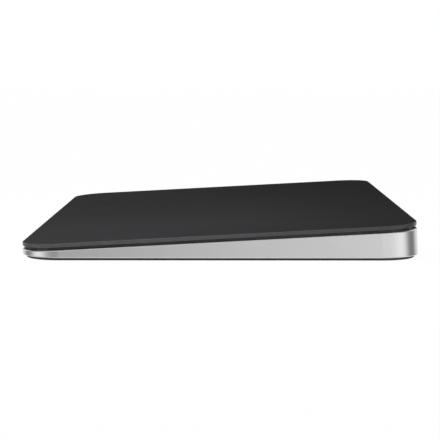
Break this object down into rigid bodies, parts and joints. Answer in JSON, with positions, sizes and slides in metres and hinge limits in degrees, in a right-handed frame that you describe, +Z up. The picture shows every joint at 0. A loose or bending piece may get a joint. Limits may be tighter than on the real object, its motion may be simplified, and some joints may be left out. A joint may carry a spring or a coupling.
{
  "type": "trackpad",
  "caption": "Thin wedge-shaped desktop trackpad with a black glass touch plate floating over a silver aluminium body.",
  "frame": {"origin": "on the table under the middle of the footprint: the bottom centre of the bounding box", "axes": "+X to the user's right along the long side, +Y from the thin front edge to the thick rear edge, +Z up"},
  "size_m": [0.16, 0.1148, 0.011],
  "materials": {
    "black_glass": "finely etched top, polished edge",
    "clear_adhesive": "pressure-sensitive adhesive",
    "black_board": "black solder mask",
    "stainless_steel": "stamped",
    "spring_steel": "cold rolled",
    "screw_steel": "zinc plated",
    "pad_gel": "soft gel",
    "gauge_foil": "polyimide film",
    "chip_black": "moulded epoxy",
    "capacitor_brown": "fired",
    "plug_white": "moulded",
    "core_steel": "laminated",
    "bobbin_plastic": "moulded",
    "coil_copper": "enamelled wire",
    "cell_pouch": "foil pouch with a film wrap",
    "tab_nickel": "welded strip",
    "port_steel": "drawn",
    "tongue_plastic": "moulded",
    "contact_gold": "plated",
    "knob_aluminium": "anodised",
    "label_green": "printed film",
    "silver_aluminium": "bead blasted and anodised",
    "base_plastic": "fine texture",
    "foot_rubber": "matt"
  },
  "bodies": {
    "base_unit": {"base_adhesive": "clear_adhesive", "battery_adhesive": "clear_adhesive", "logic_board": "black_board", "battery_board": "black_board", "radio_shield": "stainless_steel", "port_bracket": "stainless_steel", "haptic_frame": "stainless_steel", "flexure_front_left": "spring_steel", "flexure_front_right": "spring_steel", "flexure_rear_left": "spring_steel", "flexure_rear_right": "spring_steel", "flexure_screws": "screw_steel", "haptic_screws": "screw_steel", "logic_board_screws": "screw_steel", "port_screws": "screw_steel", "switch_screws": "screw_steel", "strain_gauges": "gauge_foil", "sensor_flex": "gauge_foil", "haptic_flex": "gauge_foil", "battery_lead": "gauge_foil", "switch_flex": "gauge_foil", "antenna": "gauge_foil", "processor": "chip_black", "board_chips": "chip_black", "capacitors": "capacitor_brown", "haptic_plug": "plug_white", "battery_plug": "plug_white", "sensor_socket": "plug_white", "haptic_core_left": "core_steel", "haptic_core_right": "core_steel", "haptic_bobbin_left": "bobbin_plastic", "haptic_bobbin_right": "bobbin_plastic", "switch_housing": "bobbin_plastic", "haptic_coil_left": "coil_copper", "haptic_coil_right": "coil_copper", "battery_cell_left": "cell_pouch", "battery_cell_right": "cell_pouch", "battery_tabs": "tab_nickel", "port_shell": "port_steel", "port_tongue": "tongue_plastic", "port_contacts": "contact_gold", "switch_pins": "contact_gold", "switch_label": "label_green", "enclosure": "silver_aluminium", "base_plate": "base_plastic", "foot_front_left": "foot_rubber", "foot_front_right": "foot_rubber", "foot_rear_left": "foot_rubber", "foot_rear_right": "foot_rubber"},
    "suspension": {"support_pads": "pad_gel"},
    "touch_plate": {"top_glass": "black_glass", "glass_adhesive": "clear_adhesive", "sensor_board": "black_board", "sensor_chip": "chip_black", "stiffener_plate": "stainless_steel", "haptic_armature": "core_steel"},
    "power_switch": {"switch_knob": "knob_aluminium", "switch_slider": "bobbin_plastic"}
  },
  "joints": [
    {"name": "touch_press", "type": "slide", "parent": "base_unit", "child": "suspension", "axis": [0, 0.0534, -0.9986], "range_m": [0, 0.00012], "stiffness_N_per_m": 25000, "springref_m": -0.00006, "deforming": ["flexure_front_left", "flexure_front_right", "flexure_rear_left", "flexure_rear_right", "sensor_flex"]},
    {"name": "haptic_shift", "type": "slide", "parent": "suspension", "child": "touch_plate", "axis": [1, 0, 0], "range_m": [-0.0001, 0.0001], "stiffness_N_per_m": 20000, "deforming": ["sensor_flex"]},
    {"name": "power_slide", "type": "slide", "parent": "base_unit", "child": "power_switch", "axis": [1, 0, 0], "range_m": [0, 0.0024]}
  ]
}
